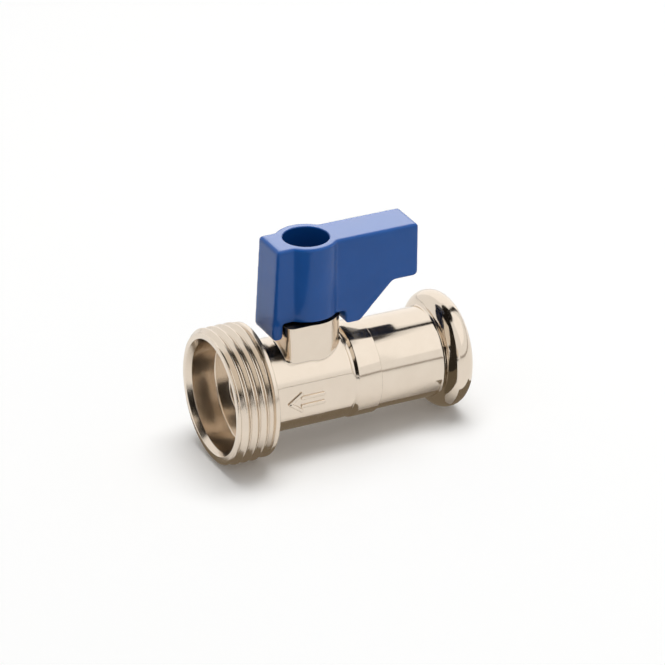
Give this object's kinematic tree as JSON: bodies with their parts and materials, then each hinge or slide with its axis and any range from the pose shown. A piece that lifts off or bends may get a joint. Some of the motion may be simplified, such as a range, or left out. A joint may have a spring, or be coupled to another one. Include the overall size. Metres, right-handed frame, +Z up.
{
  "type": "washing machine valve",
  "caption": "Quarter-turn ball valve with an outer hose thread at the outlet, a beaded press socket for pipe at the inlet and a moulded lever on top.",
  "frame": {"origin": "centre of the outlet's flat sealing face, on the waterway's axis", "axes": "+X along the waterway from the outlet to the press end, +Z up along the spindle, +Y to the side opposite the raised arrow"},
  "size_m": [0.0508, 0.0264, 0.0426],
  "materials": {
    "nickel_plate": "nickel plated, polished",
    "bare_brass": "turned, satin",
    "ball_chrome": "polished",
    "seat_plastic": "waxy white fluoropolymer",
    "seal_rubber": "smooth, greased",
    "lever_plastic": "moulded nylon, satin",
    "screw_steel": "zinc plated"
  },
  "bodies": {
    "valve_body": {"body": "nickel_plate", "press_end": "nickel_plate", "outlet_seat": "seat_plastic", "inlet_seat": "seat_plastic", "thrust_washer": "seat_plastic", "press_seal_ring": "seal_rubber"},
    "spindle": {"handle": "lever_plastic", "handle_screw": "screw_steel", "spring_washer": "screw_steel", "stem": "bare_brass", "ball": "ball_chrome", "lower_stem_seal": "seal_rubber", "upper_stem_seal": "seal_rubber"}
  },
  "joints": [
    {"name": "lever_turn", "type": "hinge", "parent": "valve_body", "child": "spindle", "pos_m": [0.0198, 0, 0.01], "axis": [0, 0, -1], "range_deg": [0, 90]}
  ]
}
